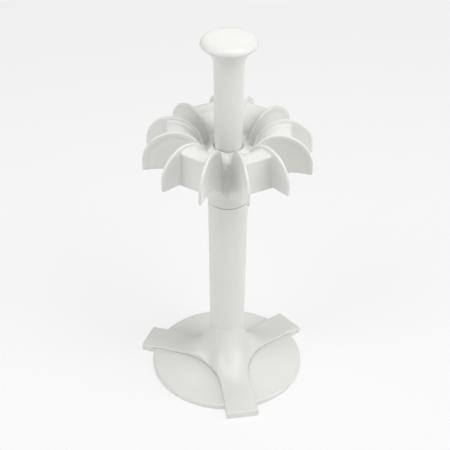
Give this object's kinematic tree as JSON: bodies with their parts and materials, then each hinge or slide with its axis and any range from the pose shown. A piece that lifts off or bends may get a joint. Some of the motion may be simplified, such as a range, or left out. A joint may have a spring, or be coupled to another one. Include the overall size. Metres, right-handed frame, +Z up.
{
  "type": "pipette carousel stand",
  "caption": "Free-standing bench stand: a weighted foot and column carry a turning crown of saddle hangers for pipettes, under a knob handle.",
  "frame": {"origin": "on the axis of the column, in the plane of the ground under the rubber pads", "axes": "+Z up along the column; -Y toward the leg that faces the front, +X to the right seen from the front"},
  "size_m": [0.1512, 0.1512, 0.328],
  "materials": {
    "white_moulding": "satin",
    "cover_sheet": "matt",
    "ballast_iron": "as cast",
    "pad_rubber": "matt",
    "plated_steel": "zinc plated",
    "spindle_steel": "ground",
    "bearing_acetal": "natural"
  },
  "bodies": {
    "stand": {"base_disc": "white_moulding", "leg_star": "white_moulding", "ballast_plate": "ballast_iron", "bottom_cover": "cover_sheet", "foot_pads": "pad_rubber", "base_screws": "plated_steel", "base_washer": "plated_steel", "base_nut": "plated_steel", "tie_rod": "plated_steel", "column_tube": "white_moulding", "column_head": "white_moulding", "lower_thrust_washer": "bearing_acetal", "spindle_tube": "spindle_steel", "upper_thrust_washer": "bearing_acetal", "handle_plug": "white_moulding", "handle_tube": "white_moulding", "top_washer": "plated_steel", "top_nut": "plated_steel", "knob_cap": "white_moulding"},
    "crown": {"lower_bush": "bearing_acetal", "upper_bush": "bearing_acetal", "crown_hub": "white_moulding", "hanger_1": "white_moulding", "hanger_2": "white_moulding", "hanger_3": "white_moulding", "hanger_4": "white_moulding", "hanger_5": "white_moulding", "hanger_6": "white_moulding"}
  },
  "joints": [
    {"name": "crown_spin", "type": "hinge", "parent": "stand", "child": "crown", "pos_m": [0, 0, 0.2], "axis": [0, 0, 1], "continuous": true}
  ]
}
